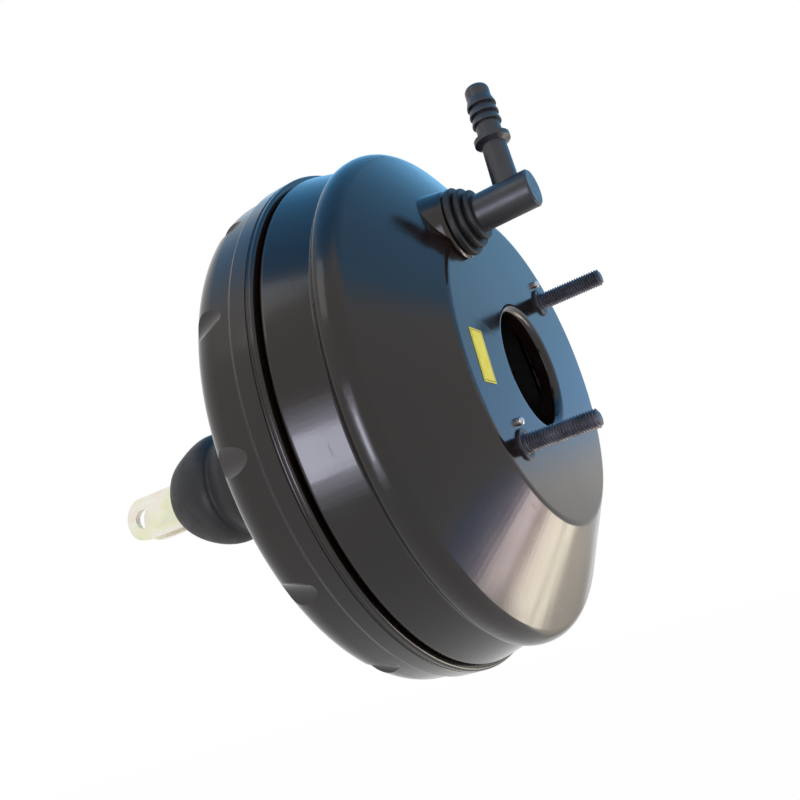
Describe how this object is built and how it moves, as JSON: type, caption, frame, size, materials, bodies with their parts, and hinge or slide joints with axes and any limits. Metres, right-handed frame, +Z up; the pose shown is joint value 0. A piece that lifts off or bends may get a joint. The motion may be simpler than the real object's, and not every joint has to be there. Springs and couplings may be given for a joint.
{
  "type": "brake booster",
  "caption": "Vacuum brake booster with a black stamped housing, master-cylinder pilot bore and studs, elbow check valve, rubber boot and push-rod clevis.",
  "frame": {"origin": "centre of the rear mounting face, on the booster's axis, where it bolts to the bulkhead", "axes": "+X forward along the booster's axis towards the master cylinder, +Z up along the vacuum hose nipple, +Y to the left"},
  "size_m": [0.2783, 0.237, 0.237],
  "materials": {
    "black_paint": "gloss baked paint",
    "dark_steel": "dark phosphated",
    "zinc_steel": "zinc plated",
    "spring_steel": "drawn wire",
    "rubber": "moulded satin",
    "valve_plastic": "moulded satin gloss",
    "phenolic": "moulded matte",
    "zinc_yellow": "yellow passivated zinc",
    "filter_felt": "felt",
    "label_yellow": "printed film, bare"
  },
  "bodies": {
    "root": {"front_shell": "black_paint", "rear_shell": "black_paint", "stud_plate": "zinc_steel", "master_cylinder_studs": "dark_steel", "stud_rings": "dark_steel", "face_pips": "black_paint", "bulkhead_studs": "dark_steel", "neck_seal": "rubber", "guide_bush": "valve_plastic", "neck_ring": "zinc_steel", "check_valve_grommet": "rubber", "face_label": "label_yellow", "boot": "rubber"},
    "power_piston": {"valve_body": "phenolic", "diaphragm_plate": "zinc_steel", "diaphragm": "rubber", "spring_seat": "zinc_steel", "return_spring": "spring_steel", "reaction_disc": "rubber", "output_rod": "dark_steel", "output_rod_screw": "dark_steel", "poppet_valve": "rubber", "poppet_retainer": "zinc_steel", "poppet_spring": "spring_steel", "rod_return_spring": "spring_steel", "air_filter": "filter_felt", "valve_key": "zinc_steel"},
    "plunger": {"control_plunger": "dark_steel"},
    "push_rod": {"input_rod": "dark_steel", "rod_spring_washer": "zinc_steel", "lock_nut": "zinc_steel", "clevis": "zinc_yellow"},
    "check_valve": {"check_valve_body": "valve_plastic", "check_valve_seat": "valve_plastic", "check_valve_spring": "spring_steel"},
    "check_disc": {"check_valve_disc": "rubber"}
  },
  "joints": [
    {"name": "piston_stroke", "type": "slide", "parent": "root", "child": "power_piston", "axis": [1, 0, 0], "range_m": [0, 0.034], "stiffness_N_per_m": 2000, "springref_m": -0.03, "deforming": ["return_spring", "diaphragm", "boot"]},
    {"name": "valve_travel", "type": "slide", "parent": "power_piston", "child": "plunger", "axis": [1, 0, 0], "range_m": [0, 0.002], "stiffness_N_per_m": 4000, "springref_m": -0.004, "deforming": ["poppet_valve", "poppet_spring", "rod_return_spring"]},
    {"name": "pushrod_swivel", "type": "hinge", "parent": "plunger", "child": "push_rod", "pos_m": [0.004, 0, 0], "axis": [0, 1, 0], "range_deg": [-2, 2]},
    {"name": "elbow_swivel", "type": "hinge", "parent": "root", "child": "check_valve", "pos_m": [0.1315, -0.03937, 0.05836], "axis": [1, 0, 0], "range_deg": [-90, 90]},
    {"name": "check_disc_lift", "type": "slide", "parent": "check_valve", "child": "check_disc", "axis": [1, 0, 0], "range_m": [0, 0.0015], "stiffness_N_per_m": 60, "springref_m": -0.004, "deforming": ["check_valve_spring"]}
  ]
}
